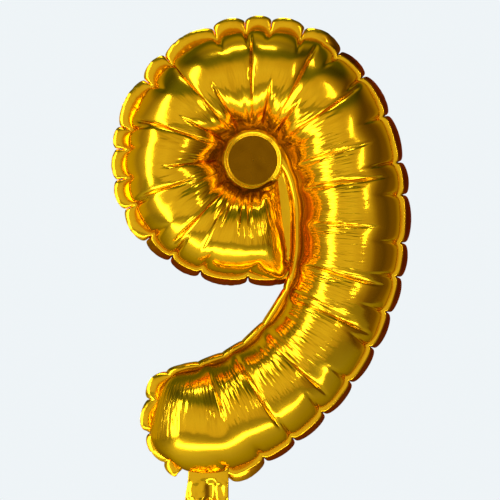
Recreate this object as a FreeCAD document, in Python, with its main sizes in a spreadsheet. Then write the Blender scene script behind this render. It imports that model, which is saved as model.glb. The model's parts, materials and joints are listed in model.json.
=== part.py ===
import FreeCAD, Part
import Sketcher
import math
import os

# A foil number balloon in the shape of a nine, blown up. Two sheets of metallised film are welded
# together along the outline, round the closed eye and along the web between the bowl and the stem,
# and a flat valve runs through the neck at the foot. Lengths are in millimetres, angles in degrees.
#
# The outline is drawn round the middle of the eye, with x to the right and z up, and y runs from
# the front to the back. Every piece is then moved so that the origin lies on the back of the
# ring's top, where an adhesive dot holds the balloon to a wall.

doc = FreeCAD.newDocument("NumberBalloon")
sheet = doc.addObject("Spreadsheet::Sheet", "Sizes")

DRIVING_SIZES = [
    # outer seam: foot of the bowl, bowl, ring, stem and tip of the tail
    ("ring_left", 91.9, "widest point of the ring, left of the eye"),
    ("ring_drop", 2.2, "centre of the ring, below the eye"),
    ("bowl_radius", 81.4, "outer seam of the bowl"),
    ("bowl_foot", 26.0, "end of the bowl, right of the eye"),
    ("stem_right", 108.0, "widest point of the stem, right of the eye"),
    ("stem_radius", 202.5, "outer seam of the stem"),
    ("stem_drop", 42.0, "centre of the stem, below the eye"),
    ("stem_turn", 66.0, "where the stem's outer seam runs into the tip's"),
    ("tip_radius", 41.0, "outer seam round the tip of the tail"),
    # inner seam: eye, stem and crook
    ("eye_radius", 22.9, "seam round the eye"),
    ("eye_turn", 34.0, "where that seam runs into the stem's inner seam"),
    ("inner_radius", 99.2, "inner seam beside the eye"),
    ("inner_straight", 14.8, "straight stretch of the inner seam"),
    ("crook_radius", 100.6, "inner seam round the crook"),
    ("crook_turn", 80.0, "where the crook's seam runs into the tail's upper corner"),
    # film and welds
    ("film", 0.4, "thickness given to the foil"),
    ("depth_ratio", 0.97, "depth of the section as a share of a full circle"),
    ("end_round", 24.0, "length over which a closed end rises to full depth"),
    ("weld_stack", 1.2, "thickness given to a weld band"),
    ("flange", 10.5, "outer weld band, at the crown of a lobe"),
    ("pucker", 6.0, "outer weld band, between two lobes"),
    ("crook_flange", 7.5, "weld band along the inside of the stem, at its widest"),
    ("crook_pucker", 6.0, "the same band at its narrowest"),
    ("eye_weld", 6.0, "weld band round the eye"),
    ("lap", 1.5, "how far a weld band reaches under the foil"),
    ("lobe_pitch", 20.0, "length of one lobe along the seam"),
    ("slit_gap", 0.3, "clearance between the web of the slit and the outer weld band"),
    # neck and valve
    ("neck_place", 33.0, "middle of the neck, left of the eye"),
    ("channel", 22.0, "width of the valve's channel"),
    ("neck_band", 4.0, "side weld of the neck"),
    ("neck_gap", 1.2, "clearance between the neck and the outer weld band"),
    ("throat", 5.0, "length of the throat, from the outer seam to the first fold"),
    ("neck_upper", 20.0, "length of the neck's upper part"),
    ("neck_lower", 24.0, "length of the neck's lower part"),
    ("fold_gap", 1.4, "clearance each side of a fold line"),
    ("valve_film", 0.25, "thickness given to a valve film"),
    ("valve_print", 0.1, "thickness given to the release print"),
    ("print_margin", 3.0, "how far the print stays in from the channel's edge"),
    ("lip_length", 34.0, "length of the valve inside the balloon"),
    ("lip_gap", 1.0, "clearance between the valve's films and its lips"),
]
for row, (alias, value, note) in enumerate(DRIVING_SIZES, start=1):
    sheet.set(f"A{row}", note)
    sheet.set(f"B{row}", str(value))
    sheet.setAlias(f"B{row}", alias)
doc.recompute()


def size(alias):
    return float(sheet.get(alias))


# ---------------------------------------------------------------- outline of the nine


def point(x, z):
    return FreeCAD.Vector(x, 0, z)


def arc(centre, radius, start, stop):
    """A stretch of seam that turns round a centre, as a function of the share run."""

    def at(share):
        a = math.radians(start + (stop - start) * share)
        return centre + point(radius * math.cos(a), radius * math.sin(a))

    return at


def straight(start, stop):
    """A straight stretch of seam, as a function of the share run."""
    return lambda share: start + (stop - start) * share


def touching(centre, radius, spot_turn, own_radius):
    """Centre of an arc that carries on smoothly from another arc at a given turn."""
    a = math.radians(spot_turn)
    return centre + point(math.cos(a), math.sin(a)) * (radius - own_radius)


bowl_radius, stem_radius, tip_radius = size("bowl_radius"), size("stem_radius"), size("tip_radius")
eye_radius, inner_radius, crook_radius = size("eye_radius"), size("inner_radius"), size("crook_radius")
EYE_TURN, TIP_TURN, CROOK_TURN = size("eye_turn"), -size("stem_turn"), -size("crook_turn")

# The ring's outer arc touches the stem's inside, which sets its radius and where the two meet.
stem = point(size("stem_right") - stem_radius, -size("stem_drop"))
ring_above = size("stem_drop") - size("ring_drop")
left_of_stem = -size("ring_left") - stem.x
ring_radius = (stem_radius**2 - left_of_stem**2 - ring_above**2) / (2 * (stem_radius + left_of_stem))
ring = point(ring_radius - size("ring_left"), -size("ring_drop"))
STEM_TURN = math.degrees(math.atan2(ring_above, ring.x - stem.x))

bowl = point(bowl_radius - size("ring_left"), -size("ring_drop"))
bowl_low = bowl - point(0, bowl_radius)
bowl_foot = point(size("bowl_foot"), bowl_low.z)
tip = touching(stem, stem_radius, TIP_TURN, tip_radius)

eye = point(0, 0)
inner = touching(eye, eye_radius, EYE_TURN, inner_radius)
inner_high = inner + point(inner_radius, 0)
inner_low = inner_high - point(0, size("inner_straight"))
crook = inner_low - point(crook_radius, 0)

# The tail's upper corner turns the other way, from the crook to the tip's widest point.
crook_end = arc(crook, crook_radius, 0, CROOK_TURN)(1)
corner_width = crook_end.x - (tip.x - tip_radius)
corner_radius = corner_width / (1 - math.cos(math.radians(CROOK_TURN)))
corner = touching(crook, crook_radius, CROOK_TURN, -corner_radius)

# Each pair is a stretch of the outer seam and the stretch of the inner seam across from it.
STRETCHES = [
    (straight(bowl_foot, bowl_low), arc(eye, eye_radius, 323, 262)),
    (arc(bowl, bowl_radius, 270, 180), arc(eye, eye_radius, 262, 176)),
    (arc(ring, ring_radius, 180, 38), arc(eye, eye_radius, 176, EYE_TURN)),
    (arc(ring, ring_radius, 38, STEM_TURN), arc(inner, inner_radius, EYE_TURN, 29)),
    (arc(stem, stem_radius, STEM_TURN, -1), arc(inner, inner_radius, 29, 0)),
    (arc(stem, stem_radius, -1, -6), straight(inner_high, inner_low)),
    (arc(stem, stem_radius, -6, -62), arc(crook, crook_radius, 0, -70)),
    (arc(stem, stem_radius, -62, TIP_TURN), arc(crook, crook_radius, -70, -73)),
    (arc(tip, tip_radius, TIP_TURN, -120), arc(crook, crook_radius, -73, CROOK_TURN)),
    (arc(tip, tip_radius, -120, -180), arc(corner, corner_radius, 100, 165)),
]
FINISH = float(len(STRETCHES))


def seams(u):
    """The outer and the inner seam at u, which counts stretches from the web to the tail's tip."""
    number = min(int(u), len(STRETCHES) - 1)
    outer_run, inner_run = STRETCHES[number]
    return outer_run(u - number), inner_run(u - number)


def outer_seam(u):
    return seams(u)[0]


def inner_seam(u):
    return seams(u)[1]


def spaced(start, stop, count):
    return [start + (stop - start) * i / (count - 1) for i in range(count)]


# ---------------------------------------------------------------- placing and naming

half_stack = size("weld_stack") / 2
crest_outer, crest_inner = ring + point(0, ring_radius), eye + point(0, eye_radius)
crest_depth = half_stack + size("depth_ratio") * (crest_outer.z - crest_inner.z) / 2
SHIFT = FreeCAD.Vector(0, -crest_depth, -(crest_outer.z + crest_inner.z) / 2)

nodes = []


def keep(obj, label, place=FreeCAD.Vector(0, 0, 0)):
    """Names a finished sub-part and puts it in the balloon's own frame."""
    obj.Label = label
    obj.Placement = FreeCAD.Placement(place + SHIFT, FreeCAD.Rotation())
    nodes.append(obj)
    return obj


def feature(name, shape):
    obj = doc.addObject("Part::Feature", name)
    obj.Shape = shape
    return obj


def line(start, stop):
    return Part.LineSegment(start, stop).toShape()


def spline(points):
    curve = Part.BSplineCurve()
    curve.interpolate(points)
    return curve.toShape()


def plate(name, edges):
    """A flat piece as thick as a weld band, centred on the plane of the outline."""
    outline = feature(name + "Outline", Part.Face(Part.Wire(edges)))
    outline.Placement.Base = FreeCAD.Vector(0, -half_stack, 0)
    solid = doc.addObject("Part::Extrusion", name)
    solid.Base = outline
    solid.DirMode = "Custom"
    solid.Dir = FreeCAD.Vector(0, 1, 0)
    solid.Solid = True
    solid.setExpression("LengthFwd", "Sizes.weld_stack")
    return solid


# ---------------------------------------------------------------- foil panels


def crescent(outer, inner, depth, side):
    """One section through a foil panel: two arcs a film apart that stand on the weld band."""
    across = (outer - inner).normalize()
    film = size("film")
    foot = FreeCAD.Vector(0, side * half_stack, 0)
    crown = (inner + outer) / 2 + FreeCAD.Vector(0, side * (half_stack + depth), 0)
    under = crown - FreeCAD.Vector(0, side * film, 0)
    a, b = inner + foot, outer + foot
    c, d = outer - across * film + foot, inner + across * film + foot
    edges = [Part.Arc(a, crown, b).toShape(), line(b, c), Part.Arc(c, under, d).toShape(), line(d, a)]
    return Part.Wire(edges)


def rise(distance):
    """Share of the full depth at a distance from a closed end."""
    least = 0.12
    reach = min(1.0, distance / size("end_round"))
    return max(least, math.sqrt(1 - (1 - reach) ** 2))


def panel_stations():
    """Stations of the panel's sections, close together at the two closed ends."""
    first = [0.0, 0.1, 0.25, 0.5, 0.8]
    round_ring = spaced(1.1, 2.9, 12)
    down_stem = [3.5, 4.3, 4.8, 5.5] + spaced(6.1, 6.9, 7)
    last = [7.5, 8.2, 8.5, 8.8, 9.1, 9.3, 9.5, 9.7, 9.85, FINISH]
    return first + round_ring + down_stem + last


def panel(name, label, side):
    stations = panel_stations()
    spots = [seams(u) for u in stations]
    middles = [(outer + inner) / 2 for outer, inner in spots]
    run = [0.0]
    for before, after in zip(middles, middles[1:]):
        run.append(run[-1] + (after - before).Length)
    sections = []
    for number, (outer, inner) in enumerate(spots):
        full = min(crest_depth - half_stack, size("depth_ratio") * (outer - inner).Length / 2)
        depth = full * rise(run[number]) * rise(run[-1] - run[number])
        sections.append(feature(f"{name}Section{number:02d}", crescent(outer, inner, depth, side)))
    loft = doc.addObject("Part::Loft", name)
    loft.Sections = sections
    loft.Solid = True
    loft.Ruled = True
    return keep(loft, label)


FRONT, BACK = -1, 1
panel("FrontPanel", "front_panel", FRONT)
panel("BackPanel", "back_panel", BACK)

# ---------------------------------------------------------------- weld bands


def offset(path, u, reach):
    """A spot at a distance to the left of a seam's run, or to its right if reach is negative."""
    step = 0.001
    before, after = max(0.0, u - step), min(FINISH, u + step)
    run = (path(after) - path(before)).normalize()
    return path(u) + point(-run.z, run.x) * reach


def stepping(path, start, stop, pitch, least=1):
    """Stations that share a stretch of seam out evenly, about a pitch apart."""
    stations = spaced(start, stop, 500)
    spots = [path(u) for u in stations]
    run = [0.0]
    for before, after in zip(spots, spots[1:]):
        run.append(run[-1] + (after - before).Length)
    count = max(least, round(run[-1] / pitch))
    marks = [0]
    for number in range(1, count):
        marks.append(min(range(len(run)), key=lambda i: abs(run[i] - run[-1] * number / count)))
    return [stations[i] for i in marks] + [stop]


def lobed_edge(path, side, start, stop, low, high):
    """Scalloped edge of a weld band: one arc for each lobe between two puckers."""
    stations = stepping(path, start, stop, size("lobe_pitch"))
    edges = []
    for u0, u1 in zip(stations, stations[1:]):
        middle = offset(path, (u0 + u1) / 2, side * high)
        start_spot, stop_spot = offset(path, u0, side * low), offset(path, u1, side * low)
        edges.append(Part.Arc(start_spot, middle, stop_spot).toShape())
    return edges


def lap_edge(path, side, start, stop):
    """Edge of a weld band that reaches a lap under the foil, run back from stop to start."""
    stations = stepping(path, start, stop, size("lobe_pitch") / 2, least=3)
    return spline([offset(path, u, -side * size("lap")) for u in reversed(stations)])


def first_spot(edge):
    return edge.valueAt(edge.FirstParameter)


def last_spot(edge):
    return edge.valueAt(edge.LastParameter)


def closed(runs):
    """Joins runs of edges end to end, with a straight line across each gap."""
    edges = []
    for run in runs:
        if edges:
            edges.append(line(last_spot(edges[-1]), first_spot(run[0])))
        edges.extend(run)
    edges.append(line(last_spot(edges[-1]), first_spot(edges[0])))
    return edges


def band(name, label, path, side, start, stop, low, high):
    """A weld band along one stretch of seam, scalloped outside and lapping under the foil."""
    outside = lobed_edge(path, side, start, stop, low, high)
    return keep(plate(name, closed([outside, [lap_edge(path, side, start, stop)]])), label)


def station_where(path, test, start, stop):
    """The first station from start to stop at which the seam passes the test."""
    steps = 4000
    for u in spaced(start, stop, steps):
        if test(path(u)):
            return u
    return stop


neck_x = -size("neck_place")
half_neck = size("channel") / 2 + size("neck_band")
rim_reach = half_neck + size("neck_gap")
u_right = station_where(outer_seam, lambda spot: spot.x < neck_x + rim_reach, 7.0, FINISH)
u_left = station_where(outer_seam, lambda spot: spot.x < neck_x - rim_reach, 7.0, FINISH)
seam_z = arc(tip, tip_radius, -90, -90)(0).z
below_rim = bowl_low.z - size("flange") - size("lap")
notch = station_where(inner_seam, lambda spot: spot.z < below_rim, 6.0, 7.0)

OUTSIDE, INSIDE = 1, -1
CROOK_END = 9.0
low, high = size("pucker"), size("flange")
crook_low, crook_high = size("crook_pucker"), size("crook_flange")
band("OuterRim", "outer_rim_seam", outer_seam, OUTSIDE, 0.0, u_right, low, high)
band("CrookSeam", "crook_seam", inner_seam, INSIDE, notch, CROOK_END, crook_low, crook_high)

# The tail's band runs round the tip, and its last lobe ends against the crook's band.
lap = size("lap")
close_pitch = size("lobe_pitch") / 3
round_tip = lobed_edge(outer_seam, OUTSIDE, u_left, FINISH, low, high)
round_corner = lobed_edge(inner_seam, INSIDE, FINISH, CROOK_END, low, high)
under_corner = [offset(inner_seam, u, lap) for u in stepping(inner_seam, CROOK_END, FINISH, close_pitch)]
under_tip = [offset(outer_seam, u, -lap) for u in stepping(outer_seam, u_left, FINISH, close_pitch)]
under_foil = spline(under_corner + under_tip[::-1])
keep(plate("TailRim", closed([round_tip, round_corner, [under_foil]])), "tail_rim_seam")

# ---------------------------------------------------------------- eye and web


def body_with_sketch(name, plane):
    """A PartDesign body with an empty sketch on one of its own origin planes."""
    body = doc.addObject("PartDesign::Body", name)
    sketch = body.newObject("Sketcher::SketchObject", name + "Sketch")
    sketch.AttachmentSupport = [(next(o for o in body.Origin.OriginFeatures if o.Role == plane), "")]
    sketch.MapMode = "FlatFace"
    return body, sketch


def circle_of(sketch, name, formula):
    """A circle round the sketch's origin, with its radius bound to the sheet."""
    number = sketch.addGeometry(Part.Circle(FreeCAD.Vector(0, 0, 0), FreeCAD.Vector(0, 0, 1), 10.0))
    sketch.addConstraint(Sketcher.Constraint("Coincident", number, 3, -1, 1))
    limit = sketch.addConstraint(Sketcher.Constraint("Radius", number, 10.0))
    sketch.renameConstraint(limit, name)
    sketch.setExpression("Constraints." + name, formula)


def padded(body, sketch, name, formula):
    """Pads a sketch to the same height on both sides of its plane."""
    pad = body.newObject("PartDesign::Pad", name)
    pad.Profile = sketch
    pad.Midplane = True
    pad.setExpression("Length", formula)
    return pad


eye_ring, ring_sketch = body_with_sketch("EyeSeam", "XZ_Plane")
circle_of(ring_sketch, "outside", "Sizes.eye_radius + Sizes.lap")
circle_of(ring_sketch, "inside", "Sizes.eye_radius - Sizes.eye_weld")
padded(eye_ring, ring_sketch, "EyeSeamPad", "Sizes.weld_stack")
keep(eye_ring, "eye_seam")

eye_disc, disc_sketch = body_with_sketch("EyeWeb", "XZ_Plane")
circle_of(disc_sketch, "outside", "Sizes.eye_radius - Sizes.eye_weld")
padded(eye_disc, disc_sketch, "EyeWebPad", "2 * Sizes.film")
keep(eye_disc, "eye_web")

# The slit between the bowl's end and the stem is one weld, cut round the eye's own band.
slit_side = stepping(inner_seam, 3.0, notch, size("lobe_pitch") / 2)
along_stem = spline([offset(inner_seam, u, lap) for u in slit_side])
foot_spot, eye_spot = seams(0.0)
beside_rim = foot_spot.x + size("slit_gap")
rim_top = point(beside_rim, foot_spot.z)
rim_foot = point(beside_rim, offset(inner_seam, notch, -low).z)
bowl_side = [line(rim_foot, rim_top), line(rim_top, eye_spot)]
slit = plate("SlitWhole", closed([bowl_side, [along_stem]]))
eye_cut = doc.addObject("Part::Cylinder", "EyeCut")
eye_cut.setExpression("Radius", "Sizes.eye_radius + Sizes.lap")
eye_cut.setExpression("Height", "4 * Sizes.weld_stack")
along_y = FreeCAD.Rotation(FreeCAD.Vector(1, 0, 0), 90)
eye_cut.Placement = FreeCAD.Placement(FreeCAD.Vector(0, 2 * size("weld_stack"), 0), along_y)
slit_seam = doc.addObject("Part::Cut", "SlitSeam")
slit_seam.Base = slit
slit_seam.Tool = eye_cut
keep(slit_seam, "slit_seam")

# ---------------------------------------------------------------- neck and valve

FILM, VALVE, PRINT = "Sizes.film", "Sizes.valve_film", "Sizes.valve_print"
NECK_WIDTH = "Sizes.channel + 2 * Sizes.neck_band"
BAND_WIDTH, CHANNEL_WIDTH = "Sizes.neck_band", "Sizes.channel"
PRINT_WIDTH = "Sizes.channel - 2 * Sizes.print_margin"
throat_end = seam_z - size("throat")
upper_top = throat_end - 2 * size("fold_gap")
upper_end = upper_top - size("neck_upper")
lower_top = upper_end - 2 * size("fold_gap")
lower_end = lower_top - size("neck_lower")
neck_fold_z = (throat_end + upper_top) / 2
tail_fold_z = (upper_end + lower_top) / 2

print_half = size("valve_print") / 2
valve_out = print_half + size("valve_film")
foil_out = valve_out + size("film")


def slab(name, label, width, thick, length, middle_x, near_y, foot_z):
    """A flat strip: width along x, thickness along y from near_y, length up z from foot_z."""
    box = doc.addObject("Part::Box", name)
    box.setExpression("Length", width)
    box.setExpression("Width", thick)
    box.setExpression("Height", length)
    doc.recompute()
    corner_spot = FreeCAD.Vector(middle_x - float(box.Length) / 2, near_y, foot_z)
    return keep(box, label, corner_spot)


def size_of(formula):
    """Value of a formula that is one alias of the sheet."""
    return size(formula.split(".")[1])


def film_pair(name, label, width, thick, length, inside, foot_z):
    """Two equal strips, front and back, whose inner faces are equally far from the middle."""
    near_front = -inside - size_of(thick)
    slab(name + "Front", label.format("front"), width, thick, length, neck_x, near_front, foot_z)
    slab(name + "Back", label.format("back"), width, thick, length, neck_x, inside, foot_z)


def weld_pair(name, label, length, foot_z):
    """The side welds of one part of the neck, between its two films."""
    thick = "Sizes.valve_print + 2 * Sizes.valve_film"
    reach = (size("channel") + size("neck_band")) / 2
    for word, side in (("left", -1), ("right", 1)):
        middle_x = neck_x + side * reach
        part_name, part_label = name + word.title(), label.format(word)
        slab(part_name, part_label, BAND_WIDTH, thick, length, middle_x, -valve_out, foot_z)


film_pair("ThroatFilm", "throat_{}_film", NECK_WIDTH, FILM, "Sizes.throat", half_stack, throat_end)

UPPER, LOWER = "Sizes.neck_upper", "Sizes.neck_lower"
film_pair("NeckFilm", "neck_{}_film", NECK_WIDTH, FILM, UPPER, valve_out, upper_end)
weld_pair("NeckWeld", "neck_{}_weld", UPPER, upper_end)
film_pair("ValveFilm", "valve_{}_film", CHANNEL_WIDTH, VALVE, UPPER, print_half, upper_end)
slab("ValvePrint", "valve_release_print", PRINT_WIDTH, PRINT, UPPER, neck_x, -print_half, upper_end)

film_pair("TailFilm", "tail_{}_film", NECK_WIDTH, FILM, LOWER, valve_out, lower_end)
weld_pair("TailWeld", "tail_{}_weld", LOWER, lower_end)
film_pair("TailValve", "tail_valve_{}_film", CHANNEL_WIDTH, VALVE, LOWER, print_half, lower_end)

throat_valve = "Sizes.throat + Sizes.lip_gap"
film_pair("ThroatValve", "throat_valve_{}_film", CHANNEL_WIDTH, VALVE, throat_valve, print_half, throat_end)
lip_foot = seam_z + 2 * size("lip_gap")
film_pair("ValveLip", "valve_{}_lip", CHANNEL_WIDTH, VALVE, "Sizes.lip_length", print_half, lip_foot)

# ---------------------------------------------------------------- checking and writing

doc.recompute()
for obj in doc.Objects:
    if {"Invalid", "Error"} & set(obj.State):
        raise RuntimeError(f"{obj.Label} failed: {obj.State}")
os.makedirs("parts", exist_ok=True)
for node in nodes:
    if node.Shape.isNull() or not node.Shape.isValid():
        raise RuntimeError(f"{node.Label} has no valid shape")
    node.Shape.exportStep(f"parts/{node.Label}.step")
    box = node.Shape.BoundBox
    low_spot = FreeCAD.Vector(box.XMin, box.YMin, box.ZMin)
    high_spot = FreeCAD.Vector(box.XMax, box.YMax, box.ZMax)
    print(f"{node.Label}: {node.Shape.Volume:.0f} mm3, from {low_spot} to {high_spot}")
print(f"neck fold {SHIFT + point(neck_x, neck_fold_z)}, tail fold {SHIFT + point(neck_x, tail_fold_z)}")
print(f"lips' root {SHIFT + point(neck_x, lip_foot)}")
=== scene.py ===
import json
import math
import bpy
import numpy as np
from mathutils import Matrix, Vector

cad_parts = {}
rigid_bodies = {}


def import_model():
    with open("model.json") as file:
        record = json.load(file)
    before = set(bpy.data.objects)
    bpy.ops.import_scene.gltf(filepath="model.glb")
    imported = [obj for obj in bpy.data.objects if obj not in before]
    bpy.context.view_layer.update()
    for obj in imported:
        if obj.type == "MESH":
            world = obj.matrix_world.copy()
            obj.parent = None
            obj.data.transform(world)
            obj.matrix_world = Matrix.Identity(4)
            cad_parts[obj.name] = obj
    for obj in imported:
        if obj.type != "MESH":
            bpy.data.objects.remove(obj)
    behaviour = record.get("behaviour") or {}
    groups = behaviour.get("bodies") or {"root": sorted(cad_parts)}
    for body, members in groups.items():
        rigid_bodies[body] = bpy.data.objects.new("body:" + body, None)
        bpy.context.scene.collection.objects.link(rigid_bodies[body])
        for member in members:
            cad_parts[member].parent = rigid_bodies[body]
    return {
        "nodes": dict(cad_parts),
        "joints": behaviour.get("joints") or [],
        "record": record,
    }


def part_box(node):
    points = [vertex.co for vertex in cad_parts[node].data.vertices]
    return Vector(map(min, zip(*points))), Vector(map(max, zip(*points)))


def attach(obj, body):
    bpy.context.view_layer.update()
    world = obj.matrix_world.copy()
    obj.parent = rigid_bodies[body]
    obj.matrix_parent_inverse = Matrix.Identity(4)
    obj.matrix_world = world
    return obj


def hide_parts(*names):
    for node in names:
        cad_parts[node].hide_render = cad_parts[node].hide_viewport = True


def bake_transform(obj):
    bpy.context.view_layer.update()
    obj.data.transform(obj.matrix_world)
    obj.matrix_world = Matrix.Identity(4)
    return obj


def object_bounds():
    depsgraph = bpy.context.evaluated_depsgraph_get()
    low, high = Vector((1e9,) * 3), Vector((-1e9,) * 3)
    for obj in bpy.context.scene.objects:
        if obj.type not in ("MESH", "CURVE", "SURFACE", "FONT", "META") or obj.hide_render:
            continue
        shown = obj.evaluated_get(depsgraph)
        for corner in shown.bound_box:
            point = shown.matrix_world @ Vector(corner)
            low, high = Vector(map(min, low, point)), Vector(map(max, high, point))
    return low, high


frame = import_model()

# A blown-up foil balloon in the shape of a nine. The two panels are simulated: flat sheets are welded
# along the seams and gas is let in. Where the creases lie is chosen, and a weak hold keeps them apart;
# the weld bands, the eye, the web and the neck are shaped by formula.
# The panels, bands, eye and web are worked out in millimetres round the middle of the eye, and the
# neck, the studio and every mesh are in metres.

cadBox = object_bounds()
bpy.ops.object.select_all(action="DESELECT")


def middleOf(nodeName):
    low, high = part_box(nodeName)
    return (Vector(low) + Vector(high)) / 2


eyeMiddle = middleOf("eye_web")
neckBox = [Vector(corner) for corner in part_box("neck_front_film")]
tailBox = [Vector(corner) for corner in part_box("tail_front_film")]
throatBox = [Vector(corner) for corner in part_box("throat_front_film")]


def toFrame(spots):
    return np.asarray(spots, float) / 1000 + np.array(eyeMiddle)


def fromFrame(x, z):
    return np.array([(x - eyeMiddle.x) * 1000, (z - eyeMiddle.z) * 1000])


# ---- the seams, as arcs that run on into each other

outline = {
    "ringLeft": 91.9,
    "ringDrop": 2.2,
    "bowlRadius": 81.4,
    "bowlFoot": 26.0,
    "stemRight": 108.0,
    "stemRadius": 202.5,
    "stemDrop": 42.0,
    "stemTurn": 66.0,
    "tipRadius": 41.0,
    "eyeRadius": 22.9,
    "eyeTurn": 34.0,
    "innerRadius": 99.2,
    "innerStraight": 14.8,
    "crookRadius": 100.6,
    "crookTurn": 80.0,
}


def bowed(middle, radius, start, stop):
    def at(share):
        turn = np.radians(start + (stop - start) * share)
        return np.stack([middle[0] + radius * np.cos(turn), middle[1] + radius * np.sin(turn)], -1)

    return at


def straight(start, stop):
    start, stop = np.array(start, float), np.array(stop, float)
    return lambda share: start + (stop - start) * np.asarray(share)[..., None]


def touching(middle, radius, turn, ownRadius):
    turn = math.radians(turn)
    reach = radius - ownRadius
    return (middle[0] + reach * math.cos(turn), middle[1] + reach * math.sin(turn))


def seamRuns():
    o = outline
    stem = (o["stemRight"] - o["stemRadius"], -o["stemDrop"])
    above = o["stemDrop"] - o["ringDrop"]
    aside = -o["ringLeft"] - stem[0]
    ringRadius = (o["stemRadius"] ** 2 - aside**2 - above**2) / (2 * (o["stemRadius"] + aside))
    ring = (ringRadius - o["ringLeft"], -o["ringDrop"])
    join = math.degrees(math.atan2(above, ring[0] - stem[0]))
    bowl = (o["bowlRadius"] - o["ringLeft"], -o["ringDrop"])
    bowlLow = (bowl[0], bowl[1] - o["bowlRadius"])
    tip = touching(stem, o["stemRadius"], -o["stemTurn"], o["tipRadius"])
    inner = touching((0, 0), o["eyeRadius"], o["eyeTurn"], o["innerRadius"])
    innerHigh = (inner[0] + o["innerRadius"], inner[1])
    innerLow = (innerHigh[0], innerHigh[1] - o["innerStraight"])
    crook = (innerLow[0] - o["crookRadius"], innerLow[1])
    crookEnd = bowed(crook, o["crookRadius"], 0, -o["crookTurn"])(np.array(1.0))
    cornerWidth = crookEnd[0] - (tip[0] - o["tipRadius"])
    cornerRadius = cornerWidth / (1 - math.cos(math.radians(o["crookTurn"])))
    corner = touching(crook, o["crookRadius"], -o["crookTurn"], -cornerRadius)
    eye, eyeRadius, eyeTurn = (0, 0), o["eyeRadius"], o["eyeTurn"]
    tipTurn, crookTurn = -o["stemTurn"], -o["crookTurn"]
    return [
        (straight((o["bowlFoot"], bowlLow[1]), bowlLow), bowed(eye, eyeRadius, 323, 262)),
        (bowed(bowl, o["bowlRadius"], 270, 180), bowed(eye, eyeRadius, 262, 176)),
        (bowed(ring, ringRadius, 180, 38), bowed(eye, eyeRadius, 176, eyeTurn)),
        (bowed(ring, ringRadius, 38, join), bowed(inner, o["innerRadius"], eyeTurn, 29)),
        (bowed(stem, o["stemRadius"], join, -1), bowed(inner, o["innerRadius"], 29, 0)),
        (bowed(stem, o["stemRadius"], -1, -6), straight(innerHigh, innerLow)),
        (bowed(stem, o["stemRadius"], -6, -62), bowed(crook, o["crookRadius"], 0, -70)),
        (bowed(stem, o["stemRadius"], -62, tipTurn), bowed(crook, o["crookRadius"], -70, -73)),
        (bowed(tip, o["tipRadius"], tipTurn, -120), bowed(crook, o["crookRadius"], -73, crookTurn)),
        (bowed(tip, o["tipRadius"], -120, -180), bowed(corner, cornerRadius, 100, 165)),
    ]


runs = seamRuns()
finish = float(len(runs))


def seams(stations):
    stations = np.asarray(stations, float)
    numbers = np.minimum(stations.astype(int), len(runs) - 1)
    outer, inner = np.zeros(stations.shape + (2,)), np.zeros(stations.shape + (2,))
    for number, (outerRun, innerRun) in enumerate(runs):
        here = numbers == number
        outer[here] = outerRun(stations[here] - number)
        inner[here] = innerRun(stations[here] - number)
    return outer, inner


def lengthAlong(spots):
    steps = np.linalg.norm(np.diff(spots, axis=0), axis=1)
    return np.concatenate([[0.0], np.cumsum(steps)])


def evenStations(count, outerShare=0.6):
    fine = np.linspace(0, finish, 4001)
    outer, inner = seams(fine)
    run = lengthAlong(outer * outerShare + inner * (1 - outerShare))
    return np.interp(np.linspace(0, run[-1], count), run, fine)


# ---- blowing up the film

film = {
    "depth": 34.5,  # half the thickness of the balloon
    "fullness": 0.97,
    "endRound": 24.0,
    "coarse": (420, 34, 350),  # columns, rows of one sheet, steps
    "fine": (960, 42, 110),
    "pressure": 0.002,
    "stiffness": (0.25, 0.15),
    "outerHold": 0.15,
    "slack": 0.72,  # the share of the spare length along the seams that is kept; the rest is left out
    "creases": [
        0.3, 0.66, 0.93, 1.2, 1.42, 1.7, 2.12, 2.34, 2.59, 2.82, 3.13,
        4.23, 4.6, 5.4, 6.15, 6.36, 6.61, 6.85, 7.6,
    ],
    "creaseDepth": 4.0,
    "creaseReach": 0.5,
    "creaseRoots": (0.05, 0.17),  # round the eye and tail, and along the stem's smooth inner side
    "creaseHold": 0.06,
    "creaseStrands": 3,
    "shear": 0.35,
    "scallop": 3.2,
    "pinch": 3.2,
}
lobeLengths = [
    30, 34, 23, 21, 25, 20, 21, 15, 36, 21, 38, 22, 18, 23, 29, 24,
    32, 35, 24, 35, 25, 27, 28, 29, 30, 29, 26, 26, 35, 20, 22, 20,
]


def lobeMarks():
    return np.concatenate([[0.0], np.cumsum(lobeLengths)])


def roundedEnd(distance, least=0.03):
    reach = np.clip(distance / film["endRound"], 0, 1)
    return np.maximum(least, np.sqrt(1 - (1 - reach) ** 2))


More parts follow.
